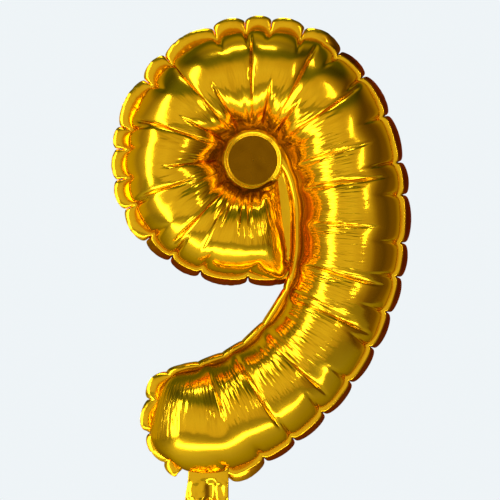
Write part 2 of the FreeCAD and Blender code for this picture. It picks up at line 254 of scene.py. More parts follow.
def seededFilm(columns, rows):
    stations = evenStations(columns)
    outer, inner = seams(stations)
    run = lengthAlong((outer + inner) / 2)
    width = np.linalg.norm(outer - inner, axis=1)
    across = (outer - inner) / width[:, None]
    full = np.minimum(film["depth"], film["fullness"] * width / 2)
    depth = full * roundedEnd(run) * roundedEnd(run[-1] - run)
    share = np.linspace(0, 1, rows + 1)
    share = np.concatenate([share, share[1:-1][::-1]])
    side = np.ones(2 * rows)
    side[: rows + 1] = -1
    spread = (1 - np.cos(np.pi * share)) / 2
    bulge = np.sin(np.pi * share)

    alongOuter = lengthAlong(outer)
    toMark = np.abs(alongOuter[:, None] - lobeMarks()[None, :]).min(axis=1)
    scalloped = outer + across * (0.6 - film["scallop"] * np.exp(-toMark / 2.2))[:, None]
    flatSpots = inner[:, None, :] + (scalloped - inner)[:, None, :] * spread[None, :, None]
    height = depth[:, None] * bulge[None, :]

    column = np.arange(columns)[:, None]
    creased = np.zeros_like(height)
    random = np.random.default_rng(4)
    for place in film["creases"]:
        rootShare = film["creaseRoots"][int(3.5 < place < 6.3)]
        for strand in range(film["creaseStrands"]):
            start = np.searchsorted(stations, place) + strand * random.normal(0, 0.004) * columns
            lean = random.normal(0, 0.006) * columns
            reach = film["creaseReach"] * random.uniform(0.8, 1.1)
            strength = film["creaseDepth"] / (1 + 0.7 * strand)
            fade = np.clip((share - rootShare) / 0.1, 0, 1) * np.clip((reach - share) / 0.3, 0, 1)
            away = (column - (start + lean * share)[None, :]) / (0.0022 * columns)
            fold = fade[None, :] * np.exp(-(away**2))
            height = height - strength * fold * bulge[None, :]
            creased = np.maximum(creased, fold)
    nip = np.exp(-((toMark / 1.6) ** 2))[:, None] * np.clip((share - 0.84) / 0.1, 0, 1)[None, :]
    height = np.maximum(height - film["pinch"] * nip * np.minimum(1, height / 3), 0)
    creased = np.maximum(creased, nip)

    spots = np.stack([flatSpots[..., 0], side[None, :] * height, flatSpots[..., 1]], -1)
    halfLoop = np.pi * (width / 2 + full) / 2
    cut = inner[:, None, :] + across[:, None, :] * (halfLoop[:, None] * share)[..., None]
    flatAlong = np.linalg.norm(np.diff(cut, axis=0), axis=2)
    drawn = inner[:, None] + (outer - inner)[:, None] * spread[None, :, None]
    drawnAlong = np.linalg.norm(np.diff(drawn, axis=0), axis=2)
    lengths = {
        "across": np.repeat((halfLoop / rows)[:, None], 2 * rows, 1).astype(np.float32),
        "along": (drawnAlong + film["slack"] * (flatAlong - drawnAlong)).astype(np.float32),
        "creased": creased[..., None].astype(np.float32),
    }
    return spots.astype(np.float32), lengths, cut


def pull(first, second, length, strength):
    gap = second - first
    distance = np.sqrt((gap * gap).sum(-1)) + 1e-9
    move = (strength * (distance - length) / distance)[..., None] * gap / 2
    first += move
    second -= move


def pullAlong(spots, length):
    for start in (0, 1):
        first, second = spots[start:-1:2], spots[start + 1 :: 2]
        count = min(len(first), len(second))
        pull(first[:count], second[:count], length[start::2][:count], 1.0)


def pullAcross(spots, length):
    pull(spots[:, 0::2], spots[:, 1::2], length[:, 0::2], 1.0)
    pull(spots[:, 1:-1:2], spots[:, 2::2], length[:, 1:-1:2], 1.0)
    last, first = spots[:, -1].copy(), spots[:, 0].copy()
    pull(last, first, length[:, 0], 1.0)
    spots[:, -1], spots[:, 0] = last, first


def pullShear(spots, length):
    for start in (0, 1):
        first, second = spots[start:-1:2], spots[start + 1 :: 2]
        count = min(len(first), len(second))
        first, second, own = first[:count], second[:count], length[start::2][:count, :-1]
        pull(first[:, :-1], second[:, 1:], own, film["shear"])
        pull(first[:, 1:], second[:, :-1], own, film["shear"])


def openFolds(spots, length, strength):
    for start in range(4):
        first, second = spots[start:-2:4], spots[start + 2 :: 4]
        count = min(len(first), len(second))
        first, second = first[:count], second[:count]
        own = length[start:-1:4][:count] + length[start + 1 :: 4][:count]
        gap = second - first
        distance = np.sqrt((gap * gap).sum(-1)) + 1e-9
        move = (strength * np.minimum(distance - own, 0) / distance)[..., None] * gap / 2
        first += move
        second -= move


def inflate(spots, lengths, target, rows, steps, pressure, stiffness, unevenness):
    random = np.random.default_rng(1)
    hold = np.repeat(film["creaseHold"] * lengths["creased"], 3, 2)
    hold[:, rows] = (film["outerHold"], 1, film["outerHold"])
    hold[:, 0] = 1
    hold[[0, -1]] = 1
    free = (hold.min(axis=2, keepdims=True) < 1).astype(np.float32)
    spots = spots + unevenness * random.standard_normal(spots.shape).astype(np.float32) * free
    slant = np.sqrt(lengths["along"] ** 2 + lengths["across"][:-1] ** 2)
    speed = np.zeros_like(spots)
    for step in range(steps):
        before = spots.copy()
        aroundLoop = np.roll(spots, -1, 1) - np.roll(spots, 1, 1)
        alongTube = np.empty_like(spots)
        alongTube[1:-1] = spots[2:] - spots[:-2]
        alongTube[0], alongTube[-1] = spots[1] - spots[0], spots[-1] - spots[-2]
        spots += speed * 0.97 + pressure * np.cross(alongTube, aroundLoop) * free
        for sweep in range(2):
            pullAlong(spots, lengths["along"])
            pullAcross(spots, lengths["across"])
            pullShear(spots, slant)
            openFolds(spots, lengths["along"], stiffness)
            spots += (target - spots) * hold
        speed = np.clip(spots - before, -0.6, 0.6)
    return spots


def finer(spots, columns, rows):
    oldColumns, oldLoop = spots.shape[:2]
    place = np.linspace(0, oldColumns - 1, columns)
    low = np.minimum(place.astype(int), oldColumns - 2)
    part = (place - low)[:, None, None]
    longer = spots[low] * (1 - part) + spots[low + 1] * part
    turn = np.arange(2 * rows) * oldLoop / (2 * rows)
    left = turn.astype(int)
    part = (turn - left)[None, :, None]
    rounder = longer[:, left % oldLoop] * (1 - part) + longer[:, (left + 1) % oldLoop] * part
    return rounder.astype(np.float32)


def calmed(spots, rows):
    # the weld keeps the film smooth beside the inner seam, and its own stiffness a little everywhere
    share = np.minimum(np.arange(2 * rows), 2 * rows - np.arange(2 * rows)) / rows
    weight = (0.06 + 0.94 * (1 - np.clip((share - 0.06) / 0.14, 0, 1)))[None, :, None].astype(np.float32)
    for sweep in range(40):
        spots[1:-1] += 0.5 * weight * ((spots[2:] + spots[:-2]) / 2 - spots[1:-1])
    return spots


def blowUp():
    pressure, stiffness = film["pressure"], film["stiffness"]
    columns, rows, steps = film["coarse"]
    target, lengths, cut = seededFilm(columns, rows)
    spots = inflate(target.copy(), lengths, target, rows, steps, pressure, stiffness[0], 0.05)
    columns, rows, steps = film["fine"]
    target, lengths, cut = seededFilm(columns, rows)
    spots = finer(spots, columns, rows)
    spots[:, 0] = target[:, 0]
    spots = inflate(spots, lengths, target, rows, steps, 1.5 * pressure, stiffness[1], 0.03)
    spots = calmed(spots, rows)
    flat = spots.reshape(-1, 3)
    print("film blown up:", columns, "x", rows, flat.min(0), flat.max(0))
    return spots, cut, rows


# ---- sheets: a grid of spots becomes a mesh, with its lengths along and across as a UV map


def sheetFrom(name, grid, uvGrid, facing, tint=None, loop=False):
    rowCount, columnCount = grid.shape[:2]
    number = np.arange(rowCount * columnCount).reshape(rowCount, columnCount)
    if loop:
        number = np.concatenate([number, number[:, :1]], 1)
        uvGrid = np.concatenate([uvGrid, uvGrid[:, -1:]], 1)
    corners = [number[:-1, :-1], number[:-1, 1:], number[1:, 1:], number[1:, :-1]]
    uvCorners = [uvGrid[:-1, :-1], uvGrid[:-1, 1:], uvGrid[1:, 1:], uvGrid[1:, :-1]]
    faces = np.stack(corners, -1).reshape(-1, 4)
    uvs = np.stack(uvCorners, 2).reshape(-1, 4, 2)
    flat = grid.reshape(-1, 3)
    edgeOne, edgeTwo = flat[faces[:, 1]] - flat[faces[:, 0]], flat[faces[:, 3]] - flat[faces[:, 0]]
    normals = np.cross(edgeOne, edgeTwo)
    if loop:
        outwards = flat[faces[:, 0]] - flat.mean(0)
        agree = (normals * outwards).sum()
    else:
        agree = (normals @ np.array(facing)).sum()
    if agree < 0:
        faces, uvs = faces[:, ::-1], uvs[:, ::-1]
    mesh = bpy.data.meshes.new(name)
    mesh.from_pydata(flat.tolist(), [], faces.tolist())
    mesh.uv_layers.new(name="length").data.foreach_set("uv", uvs.reshape(-1).astype(np.float32))
    # an optional mask of painted shade, set on the folded-back weld lobes
    if tint is not None:
        layer = mesh.attributes.new("tint", "FLOAT", "POINT")
        layer.data.foreach_set("value", tint.reshape(-1).astype(np.float32))
    mesh.shade_smooth()
    piece = bpy.data.objects.new(name, mesh)
    bpy.context.scene.collection.objects.link(piece)
    return piece


def areaOf(grid):
    diagonalOne, diagonalTwo = grid[1:, 1:] - grid[:-1, :-1], grid[1:, :-1] - grid[:-1, 1:]
    return float(np.linalg.norm(np.cross(diagonalOne, diagonalTwo), axis=-1).sum() / 2)


spots, cut, rows = blowUp()
loopCount = spots.shape[1]


def foilPanel(name, columns, facing, *stoodFor):
    grid = toFrame(spots[:, columns])
    along = lengthAlong(cut[:, 0]) / 1000
    across = np.linalg.norm(cut[:, columns] - cut[:, :1], axis=2) / 1000
    uvGrid = np.stack([np.repeat(along[:, None], len(columns), 1), across], -1)
    panel = sheetFrom(name, grid, uvGrid, facing)
    flatGrid = np.zeros(grid.shape)
    flatGrid[..., :2] = cut[:, columns] / 1000
    areaOf(flatGrid)
    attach(panel, "envelope")
    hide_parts(*stoodFor)
    print(name, "area", round(areaOf(grid), 4), "cut from", round(areaOf(flatGrid), 4))


frontColumns = np.arange(rows + 1)
backColumns = np.append(np.arange(rows, loopCount), 0)
foilPanel("frontFoil", frontColumns, (0, -1, 0), "front_panel")
foilPanel("backFoil", backColumns, (0, 1, 0), "back_panel")

# ---- weld bands: the flat margin outside a seam, thrown into lobes by the film's spare length

outerSpots = spots[:, rows][:, [0, 2]]
innerSpots = spots[:, 0][:, [0, 2]]
tipSpots = (spots[-1, frontColumns] + spots[-1, backColumns[::-1]])[:, [0, 2]] / 2

rim = {
    "low": 5.5,
    "high": 12.0,
    "under": 1.5,  # how far the band reaches in between the two sheets
    "lift": 3.0,
    "curl": 1.6,
    "strip": 3.4,  # what stays in front where the lobes are folded back
    "foldedTurn": 52.0,
    "spacing": 0.6,
    "rows": 14,
    "flatWidth": 0.011,
}


def evenPath(path, spacing):
    run = lengthAlong(path)
    count = max(2, int(run[-1] / spacing))
    even = np.linspace(0, run[-1], count)
    return np.stack([np.interp(even, run, path[:, 0]), np.interp(even, run, path[:, 1])], -1), even


def smoothed(values, width):
    kernel = np.hanning(2 * width + 3)[1:-1]
    kernel /= kernel.sum()
    padded = np.pad(values, ((width, width), (0, 0)), mode="edge")
    return np.stack([np.convolve(padded[:, i], kernel, "valid") for i in range(values.shape[1])], -1)


def smoothStep(values, start, stop):
    share = np.clip((values - start) / (stop - start), 0, 1)
    return share * share * (3 - 2 * share)


def weldBand(name, path, marks, foldedBack, shapeAt, seed, *stoodFor):
    path, run = evenPath(path, rim["spacing"])
    path = smoothed(path, 2)
    heading = np.gradient(smoothed(path, 12), axis=0)
    heading /= np.linalg.norm(heading, axis=1)[:, None]
    outwards = np.stack([-heading[:, 1], heading[:, 0]], -1)
    low, high, lift, swell = shapeAt(run)
    marks = np.asarray(marks, float)
    marks = np.concatenate([[-0.5], marks[(marks > 6) & (marks < run[-1] - 6)], [run[-1] + 0.5]])
    number = np.clip(np.searchsorted(marks, run, side="right") - 1, 0, len(marks) - 2)
    share = (run - marks[number]) / (marks[number + 1] - marks[number])
    random = np.random.default_rng(seed)
    plump = random.uniform(0.75, 1.15, len(marks))[number]
    skew = random.uniform(0.87, 1.18, len(marks))[number]
    arch = np.sin(np.pi * share**skew)
    width = low + (high * (0.9 + 0.12 * plump) - low) * arch**0.45
    folded = foldedBack(run)
    reach = np.linspace(0, 1, rim["rows"])[None, :] ** 0.9
    distance = -rim["under"] + (width[:, None] + rim["under"]) * reach
    beyond = np.clip(distance - rim["strip"], 0, None)
    turn = np.radians(rim["foldedTurn"]) * folded[:, None] * smoothStep(beyond, 0, 2.2)
    outside = np.clip(distance, 0, None)
    outwardShare = outside / width[:, None]
    rise = (lift * plump)[:, None] * (arch[:, None] ** 1.1 - 0.2) * smoothStep(outwardShare, -0.05, 0.9)
    rise = rise + swell[:, None] * np.sin(np.pi * np.clip(outwardShare, 0, 1)) ** 0.8
    curl = rim["curl"] * outwardShare**3
    crumple = np.zeros_like(rise)
    for ripple in range(4):
        pitch, phase = random.uniform(3.0, 9.0), random.uniform(0, 6.28)
        lean = random.uniform(-0.25, 0.25)
        crumple += np.sin((run[:, None] + lean * outside * 6) * 2 * np.pi / pitch + phase)
    crumple *= 0.03 * outwardShare**1.5
    flatOut = np.minimum(distance, rim["strip"]) + beyond * np.cos(turn)
    backwards = beyond * np.sin(turn) - rise * (1 - 0.55 * folded[:, None]) + curl + crumple
    x = path[:, :1] + outwards[:, :1] * flatOut
    z = path[:, 1:] + outwards[:, 1:] * flatOut
    grid = toFrame(np.stack([x, backwards, z], -1))
    uvGrid = np.stack([np.repeat(run[:, None], rim["rows"], 1), distance], -1) / 1000
    # painted shade: this mask marks the folded-back lobes, which are painted dark red for the shade and
    # repeated gold reflections they lie in
    tint = folded[:, None] * smoothStep(beyond, 0.2, 2.0)
    band = sheetFrom(name, grid, uvGrid, (0, -1, 0), tint)
    # the flat length is worked back from the finished band, whose spare length is all in its lobes
    areaOf(grid) / rim["flatWidth"]
    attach(band, "envelope")
    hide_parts(*stoodFor)
    print(name, "made")


neckLeft, neckRight = fromFrame(neckBox[0].x, 0)[0], fromFrame(neckBox[1].x, 0)[0]
outerRun = lengthAlong(outerSpots)
lowHalf = outerRun > outerRun[-1] * 0.7
rightEnd = int(np.argmax(lowHalf & (outerSpots[:, 0] < neckRight)))
leftEnd = int(np.argmax(lowHalf & (outerSpots[:, 0] < neckLeft)))
stations = evenStations(len(outerSpots))
crookStart = int(np.searchsorted(stations, 6.2))
cornerAt = int(np.searchsorted(stations, 9.0))


def backOnRight(run):
    # the bowl's underside and the stem's outer side are folded away, the ring's left and top are not
    total = outerRun[-1]
    bowl = 1 - smoothStep(run, 0.11 * total, 0.15 * total)
    stem = smoothStep(run, 0.43 * total, 0.47 * total) * (1 - smoothStep(run, 0.86 * total, 0.93 * total))
    return np.clip(bowl + stem, 0, 1)


def neverBack(run):
    return 0.0 * run


def lobed(run):
    return [value + 0 * run for value in (rim["low"], rim["high"], rim["lift"], 0.6)]


# the outer seam's length changes as the film fills, so the lobes' marks are carried over
seededRun = lengthAlong(seams(stations)[0])
blownMarks = np.interp(lobeMarks(), seededRun, outerRun)
weldBand("outerRim", outerSpots[: rightEnd + 1], blownMarks, backOnRight, lobed, 7, "outer_rim_seam")

# the tail's band has wide lobes round the tip and narrows to a smooth ribbon along the crook
tipPath = np.concatenate([outerSpots[leftEnd:], tipSpots[::-1][1:], innerSpots[cornerAt:-1][::-1]])
crookPath = innerSpots[crookStart:cornerAt][::-1]
tipLength = lengthAlong(tipPath)[-1]
tailRim = {"low": 7.5, "high": 13.0, "lift": 3.6, "swell": 0.6}
crookRibbon = {"low": 5.6, "high": 6.8, "lift": 0.8, "swell": 2.0}


def narrowing(run):
    share = smoothStep(run, tipLength - 22, tipLength - 2)
    return [tailRim[key] + (crookRibbon[key] - tailRim[key]) * share for key in tailRim]


tailMarks = np.cumsum([14, 21, 24, 19, 22, 20, 18, 22, 31, 26, 34])
tailPath = np.concatenate([tipPath, crookPath])
weldBand("tailRim", tailPath, tailMarks, neverBack, narrowing, 11, "tail_rim_seam", "crook_seam")

# ---- the eye: a ring of weld round a disc of film that was never cut out

eye = {
    "turns": 360,
    "rows": 14,
    "discRows": 26,
    "disc": (0.4, 18.4),  # inner and outer radius
    "ring": (18.2, 24.2),
    "bead": 0.45,
    "beadRadius": 18.7,
    "ringSwell": 1.5,
    "wrinkle": 0.35,
}


def eyePiece(name, radiusRange, rowCount, height, stoodFor):
    innerRadius, outerRadius = radiusRange
    turns = np.linspace(0, 2 * np.pi, eye["turns"], endpoint=False)
    radii = np.linspace(innerRadius, outerRadius, rowCount)
    radiusGrid, turnGrid = np.meshgrid(radii, turns, indexing="ij")
    x, z = radiusGrid * np.cos(turnGrid), radiusGrid * np.sin(turnGrid)
    grid = np.stack([x, height(radiusGrid, turnGrid), z], -1)
    uvGrid = np.stack([turnGrid * outerRadius, radiusGrid], -1) / 1000
    number = np.arange(rowCount * eye["turns"]).reshape(rowCount, -1)
    closedRows = np.concatenate([number, number[:, :1]], 1)
    corners = [closedRows[:-1, :-1], closedRows[:-1, 1:], closedRows[1:, 1:], closedRows[1:, :-1]]
    faces = np.stack(corners, -1).reshape(-1, 4).tolist()
    points = toFrame(grid).reshape(-1, 3).tolist()
    if innerRadius < 1:
        faces.append(number[0].tolist())
    mesh = bpy.data.meshes.new(name)
    mesh.from_pydata(points, [], faces)
    if mesh.polygons[0].normal.y > 0:
        mesh.flip_normals()
    layer = mesh.uv_layers.new(name="length")
    flatUv = uvGrid.reshape(-1, 2)
    loops = np.array([loop.vertex_index for loop in mesh.loops])
    layer.data.foreach_set("uv", flatUv[loops].reshape(-1).astype(np.float32))
    mesh.shade_smooth()
    piece = bpy.data.objects.new(name, mesh)
    bpy.context.scene.collection.objects.link(piece)
    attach(piece, "envelope")
    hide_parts(stoodFor)


def ringHeight(radius, turn):
    gathers = np.sin(turn * 47) + 0.7 * np.sin(turn * 31 + 1.3) + 0.5 * np.sin(turn * 73 + 0.4)
    near = smoothStep(radius, 19, outline["eyeRadius"])
    bead = np.exp(-(((radius - eye["beadRadius"]) / 0.4) ** 2))
    swell = eye["ringSwell"] * np.sin(np.pi * np.clip((radius - 18.9) / 4.2, 0, 1))
    return -eye["bead"] * bead - 0.07 * gathers * near - swell


def discHeight(radius, turn):
    x, z = radius * np.cos(turn), radius * np.sin(turn)
    swell = np.sin(x / 5.1 + 0.6) * np.sin(z / 6.3 + 1.1) + 0.5 * np.sin((x + z) / 2.9)
    return eye["wrinkle"] * swell * (1 - smoothStep(radius, 14, 18)) + 0.25


eyePiece("eyeRing", eye["ring"], eye["rows"], ringHeight, "eye_seam")
eyePiece("eyeDisc", eye["disc"], eye["discRows"], discHeight, "eye_web")
print("eye made")

# ---- the web of weld between the bowl's end and the stem

web = {
    "rows": 220,
    "columns": 40,
    "wrinkle": 0.05,
    "ribbon": 7.0,
    "bulge": 2.4,
    "recess": 1.0,
    "overlap": 0.8,  # how far it reaches past each seam
    "flatWidth": 0.012,
}


def slitWeb():
    share = np.linspace(0, 1, web["rows"])
    stemSide = innerSpots[int(np.searchsorted(stations, 3.0)) : int(np.searchsorted(stations, 6.25))]
    stemPath, _ = evenPath(stemSide, 0.3)
    eyeArc = bowed((0, 0), 22.4, 34, -37)(np.linspace(0, 1, 60))
    footHeight = -outline["ringDrop"] - outline["bowlRadius"] - 7.0
    footSpot = (outline["bowlFoot"] + 0.3, footHeight)
    bowlEnd = straight(innerSpots[0], footSpot)(np.linspace(0, 1, 120))
    eyePath = np.concatenate([eyeArc, bowlEnd])
    pairs = []
    for path in (eyePath, stemPath):
        even = lengthAlong(path)
        pairs.append(np.stack([np.interp(share * even[-1], even, path[:, i]) for i in (0, 1)], -1))
    left, right = pairs
    gap = right - left
    gapWidth = np.linalg.norm(gap, axis=1)[:, None] + 1e-6
    left = left - gap / gapWidth * web["overlap"]
    right = right + gap / gapWidth * web["overlap"]
    across = np.linspace(0, 1, web["columns"])
    flat = left[:, None] + (right - left)[:, None] * across[None, :, None]
    run = share * lengthAlong(stemPath)[-1]
    ripples = np.sin(run[:, None] / 1.9 + 2 * across) + 0.8 * np.sin(run[:, None] / 3.7 + 1.0)
    # the margin beside the stem's seam stands up as a smooth ribbon, and the rest lies behind it
    fromStem = (1 - across)[None, :] * gapWidth
    onRibbon = np.clip(fromStem / web["ribbon"], 0, 1)
    ribbon = np.sin(np.pi * onRibbon) ** 0.8 * web["bulge"]
    arch = np.sin(np.pi * across)[None, :]
    behind = web["recess"] * smoothStep(fromStem, web["ribbon"], web["ribbon"] + 1.5) * arch
    height = behind - ribbon - web["wrinkle"] * ripples * arch
    grid = toFrame(np.stack([flat[..., 0], height, flat[..., 1]], -1))
    runGrid = np.repeat(run[:, None], web["columns"], 1)
    uvGrid = np.stack([runGrid, 0 * runGrid + 4 * across], -1) / 1000
    piece = sheetFrom("slitWeb", grid, uvGrid, (0, -1, 0))
    areaOf(grid) / web["flatWidth"]
    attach(piece, "envelope")
    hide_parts("slit_seam")


slitWeb()
print("web made")

# ---- the neck: a flat tube of film, gathered into folds, with the valve's films inside

neck = {
    "halfWidth": (neckBox[1].x - neckBox[0].x) / 2,
    "middle": (neckBox[1].x + neckBox[0].x) / 2,
    "plane": eyeMiddle.y,
    "columns": 60,
    "rowStep": 0.0005,
    "swell": 0.0011,  # half the gap between the two films
    "folds": 0.0022,
    "flare": 0.0022,
    "crease": neckBox[0].z + 0.006,
    "mouthSlope": 0.4,
    "throatTop": throatBox[1].z,
    "throatLow": throatBox[0].z,
    "top": throatBox[1].z + 0.009,  # it runs up between the balloon's two sheets
    "tubeSlack": 2.05,  # the tube's flat width over its own
    "blendHalf": 0.0026,  # each side of a fold
    "valveOffset": 0.0003,
}


def neckFold(across, z):
    # across runs from -1 to 1; the folds run down the neck and wander a little
    wander = 0.5 * np.sin(z * 210) + 0.3 * np.sin(z * 470 + 1.0)
    folds = np.sin(across * 5.2 + wander + 0.6) + 0.45 * np.sin(across * 11.0 - 1.4 * wander)
    recess = 0.9 * np.exp(-((across / 0.45) ** 2))
    cross = np.exp(-(((z - neck["crease"]) / 0.0022) ** 2)) * np.sin(across * 7 + 1)
    calm = smoothStep(neck["throatLow"] - z, -0.001, 0.006)
    return neck["folds"] * (0.75 * folds * 0.6 + recess + 0.5 * cross) * calm


def neckSheet(name, low, high, halfWidth, gap, bodies, foldAt, slot, stoodFor):
    # with a fold it is a tube, left unattached to either body; without one it is a single film inside,
    # attached to its body
    tube = foldAt is not None
    rowCount = max(8, int((high - low) / neck["rowStep"]))
    z = np.linspace(high, low, rowCount)[:, None]
    if tube:
        turn = np.linspace(0, 2 * np.pi, 2 * neck["columns"], endpoint=False)[None, :]
        across = np.cos(turn) * (1 + 0 * z)
        bow = np.sign(np.sin(turn)) * np.abs(np.sin(turn)) ** 0.6
        # the inside end opens out into the balloon, clear of the valve's lips
        opening = neck["mouthSlope"] * np.clip(z - neck["throatTop"], 0, None)
        off = (gap + opening) * bow
        uvAcross = turn / np.pi * halfWidth * (1 + 0 * z)
    else:
        across = np.linspace(-1, 1, neck["columns"])[None, :] * (1 + 0 * z)
        off = gap * (1 + 0 * across)
        uvAcross = across * halfWidth
    share = across * halfWidth / neck["halfWidth"]
    flare = neck["flare"] * smoothStep(neck["top"] - z, 0.012, 0.030) * np.clip(-share, 0, 1)
    x = neck["middle"] + across * halfWidth - flare
    y = neck["plane"] + neckFold(share, z) + off
    grid = np.stack([x, y, z * (1 + 0 * across)], -1)
    uvGrid = np.stack([z * (1 + 0 * across), uvAcross], -1)
    piece = sheetFrom(name, grid, uvGrid, (0, -1, 0), loop=tube)
    flatWidth = 2 * halfWidth * (neck["tubeSlack"] if tube else 1)
    high - low
    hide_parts(*stoodFor)
    if tube:
        above, below = foldAt + neck["blendHalf"], foldAt - neck["blendHalf"]
        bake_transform(piece)
    else:
        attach(piece, bodies)


joints = {joint["name"]: joint for joint in frame["joints"]}
neckFoldAt, tailFoldAt = joints["neck_fold"]["pos_m"][2], joints["neck_tail_fold"]["pos_m"][2]
neckEnd = tailFoldAt + 0.003
tubeShape = (neck["halfWidth"], neck["swell"])
throatNodes = ["throat_front_film", "throat_back_film"]
neckNodes = ["neck_front_film", "neck_back_film", "neck_left_weld", "neck_right_weld"]
tailNodes = ["tail_front_film", "tail_back_film", "tail_left_weld", "tail_right_weld"]
neckSheet(
    "upperNeck", neckEnd, neck["top"], *tubeShape, ("envelope", "neck"), neckFoldAt, "gold_foil",
    throatNodes + neckNodes,
)
neckSheet(
    "lowerNeck", tailBox[0].z, neckEnd, *tubeShape, ("neck", "neck_tail"), tailFoldAt, "gold_foil",
    tailNodes,
)
valveLow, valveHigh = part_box("valve_front_film")
valveHalf = (valveHigh[0] - valveLow[0]) / 2
for word, side in (("Front", -1), ("Back", 1)):
    lowWord = word.lower()
    neckSheet(
        "neckValve" + word, neckEnd, neckBox[1].z, valveHalf, side * neck["valveOffset"],
        "neck", None, "valve_film", [f"valve_{lowWord}_film"],
    )
    neckSheet(
        "mouthValve" + word, tailBox[0].z + 0.001, neckEnd - 0.0055, valveHalf, side * neck["valveOffset"],
        "neck_tail", None, "valve_film", [f"tail_valve_{lowWord}_film"],
    )
neckSheet(
    "valvePrint", neckEnd, neckBox[1].z, valveHalf - 0.003, 0.0, "neck", None, "release_print",
    ["valve_release_print"],
)
print("neck made")

# ---- materials


class Flow:  # one socket of a shader, so that a sum on it adds its own nodes
    def __init__(self, tree, socket=None):
        self.tree, self.socket = tree, socket

    def node(self, kind, settings=None, sockets=None, out=0):
        new = self.tree.nodes.new(kind)
        for key, value in (settings or {}).items():
            if key == "stops":
                ramp = new.color_ramp
                while len(ramp.elements) < len(value):
                    ramp.elements.new(0.5)
                for element, (place, colour) in zip(ramp.elements, value):
                    element.position, element.color = place, colour
            else:
                setattr(new, key, value)
        for key, value in (sockets or {}).items():
            if isinstance(value, Flow):
                self.tree.links.new(value.socket, new.inputs[key])
            else:
                new.inputs[key].default_value = value
        return Flow(self.tree, new.outputs[out] if new.outputs else None)

    def maths(self, operation, first, second):
        return self.node("ShaderNodeMath", {"operation": operation}, {0: first, 1: second})

    def __add__(self, other):
        return self.maths("ADD", self, other)

    def __mul__(self, other):
        return self.maths("MULTIPLY", self, other)

    def __sub__(self, other):
        return self.maths("SUBTRACT", self, other)

    def __rsub__(self, other):
        return self.maths("SUBTRACT", other, self)

    __radd__, __rmul__ = __add__, __mul__

    def mix(self, plain, rich):
        return self.node("ShaderNodeMix", {"data_type": "RGBA"}, {0: self, 6: plain, 7: rich}, out=2)


def newMaterial(name, constants):
    material = bpy.data.materials.new(name)
    material.use_nodes = True
    surface = material.node_tree.nodes["Principled BSDF"]
    for key, value in constants.items():
        surface.inputs[key].default_value = value
    return material, Flow(material.node_tree), surface


def feed(surface, key, value):
    value.tree.links.new(value.socket, surface.inputs[key])


def noise(place, scale, detail, roughness=0.5):
    sockets = {"Vector": place, "Scale": scale, "Detail": detail, "Roughness": roughness}
    return place.node("ShaderNodeTexNoise", None, sockets)


def ramped(value, start, stop, low, high):
    sockets = {"Value": value, "From Min": start, "From Max": stop, "To Min": low, "To Max": high}
    return value.node("ShaderNodeMapRange", {"interpolation_type": "SMOOTHSTEP"}, sockets)


def roughen(surface, height, strength):
    bump = height.node("ShaderNodeBump", None, {"Height": height, "Strength": strength, "Distance": 1.0})
    feed(surface, "Normal", bump)


def put(material, piece):
    if piece.data.materials:
        piece.data.materials[0] = material
    else:
        piece.data.materials.append(material)


goldFinish = {
    "lemon": (1.0, 0.64, 0.016, 1),
    "deep": (0.98, 0.515, 0.009, 1),
    # painted shade: the dark red painted on folded-back lobes
    "red": (0.42, 0.075, 0.002, 1),
    # painted reflection: the brown painted beside the inner seam, and the band of distances where it is
    # painted, stand in for the walls mirroring each other
    "brown": (0.36, 0.205, 0.005, 1),
    "roughness": 0.165,
    "grazing": (0.62, 0.42, 0.06, 1),
    "brownBand": (0.005, 0.016),  # distances from the inner seam
    "gatherBand": (0.012, 0.032, 0.054, 0.068),
}


def goldFoil(name, brown, gatherDepth, broadScale, broadDepth):
    constants = {"Metallic": 1.0, "Specular Tint": goldFinish["grazing"]}
    material, flow, surface = newMaterial(name, constants)
    place = flow.node("ShaderNodeTexCoord", out=3)
    length = flow.node("ShaderNodeUVMap", {"uv_map": "length"})
    cloud = noise(place, 22.0, 3.0)
    across = flow.node("ShaderNodeSeparateXYZ", None, {0: length}, out=1)
    # painted reflection: beside the inner seam two walls mirror each other, and the gold there is painted
    # brown for it
    seamReflection = ramped(across, *goldFinish["brownBand"], brown, 0.0)
    plain = cloud.mix(goldFinish["deep"], goldFinish["lemon"])
    feed(surface, "Base Color", seamReflection.mix(plain, goldFinish["brown"]))
    scuff = noise(place, 140.0, 4.0)
    feed(surface, "Roughness", scuff * 0.05 + (goldFinish["roughness"] - 0.02) + seamReflection * 0.16)
    # fine gathers up the inner side: noise drawn out across the tube, fading before the crown
    drawn = flow.node("ShaderNodeVectorMath", {"operation": "MULTIPLY"}, {0: length, 1: (620.0, 38.0, 1.0)})
    gathers = noise(drawn, 1.0, 2.0, 0.45)
    first, full, fading, last = goldFinish["gatherBand"]
    near = ramped(across, first, full, 0.0, 1.0) * (1 - ramped(across, fading, last, 0.0, 1.0))
    broad = noise(place, broadScale, 2.0, 0.4)
    roughen(surface, gathers * near * gatherDepth + broad * broadDepth, 0.75)
    return material


def weldedFoil():
    constants = {"Metallic": 1.0, "Specular Tint": goldFinish["grazing"]}
    material, flow, surface = newMaterial("weldedFoil", constants)
    place = flow.node("ShaderNodeTexCoord", out=3)
    length = flow.node("ShaderNodeUVMap", {"uv_map": "length"})
    tint = flow.node("ShaderNodeAttribute", {"attribute_name": "tint"}, out=2)
    cloud = noise(place, 60.0, 3.0)
    gold = cloud.mix(goldFinish["deep"], goldFinish["lemon"])
    # painted shade: where the lobes fold back, the gold is painted dark red for the shade and repeated gold
    # reflections there
    feed(surface, "Base Color", tint.mix(gold, goldFinish["red"]))
    scuff = noise(place, 240.0, 4.0)
    feed(surface, "Roughness", scuff * 0.12 + 0.14)
    # the sealing bar leaves faint cross ribs and small crumples
    drawn = flow.node("ShaderNodeVectorMath", {"operation": "MULTIPLY"}, {0: length, 1: (420.0, 90.0, 1.0)})
    roughen(surface, noise(drawn, 1.0, 3.0) * 0.00012, 0.7)
    return material


